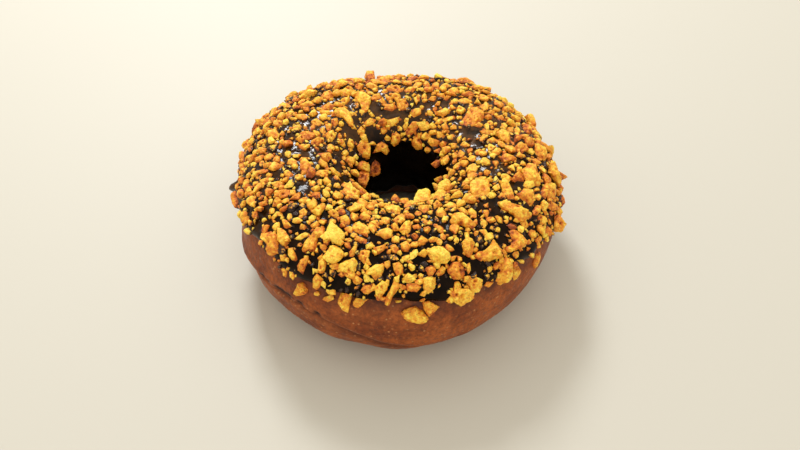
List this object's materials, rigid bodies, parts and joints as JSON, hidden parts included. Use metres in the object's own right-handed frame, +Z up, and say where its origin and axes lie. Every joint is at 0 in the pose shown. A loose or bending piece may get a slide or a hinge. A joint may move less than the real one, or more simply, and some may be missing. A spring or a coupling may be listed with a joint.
{
  "type": "ring doughnut",
  "caption": "Chocolate ring doughnut with a dark icing shell over its crown, an uneven hole and a flat underside; it rests on a plate or board.",
  "frame": {"origin": "on the surface the ring rests on, under the middle of the bounding box of its solids", "axes": "+Z up through the hole, +X to the right and -Y towards the viewer of the picture"},
  "size_m": [0.081, 0.0783, 0.0304],
  "materials": {
    "chocolate_dough": "matte baked chocolate dough",
    "dark_icing": "glossy set chocolate icing"
  },
  "bodies": {
    "root": {"dough_ring": "chocolate_dough", "chocolate_icing": "dark_icing"}
  },
  "joints": []
}
